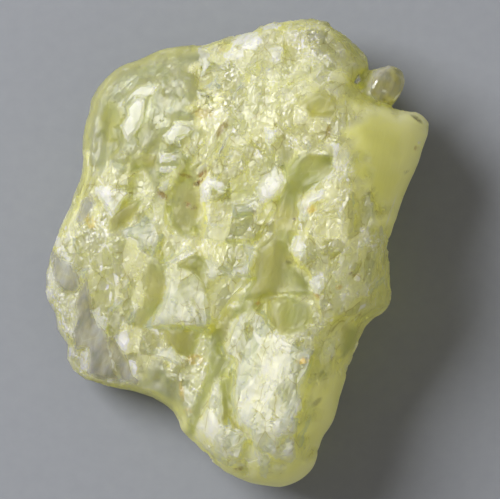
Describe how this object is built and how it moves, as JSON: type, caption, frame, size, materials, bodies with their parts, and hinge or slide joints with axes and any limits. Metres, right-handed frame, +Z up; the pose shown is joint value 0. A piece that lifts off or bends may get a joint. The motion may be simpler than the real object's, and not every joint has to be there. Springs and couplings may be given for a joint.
{
  "type": "heliodor crystal",
  "caption": "Broken piece of clear yellow-green beryl: a thick wedge with plated, ledged upper side, smooth rims and a small rounded crystal on its edge; rests on a flat underside.",
  "frame": {"origin": "on the resting plane, under the middle of the stone's overall size", "axes": "+Z up from the resting plane; +Y along the stone's length, towards the broad head and away from the narrow lobe; +X towards the smooth high flank"},
  "size_m": [0.0332, 0.0402, 0.0162],
  "materials": {
    "heliodor": "clear yellow-green crystal, satin on broken surfaces, glossy on small plates"
  },
  "bodies": {
    "root": {"heliodor_crystal": "heliodor"}
  },
  "joints": []
}
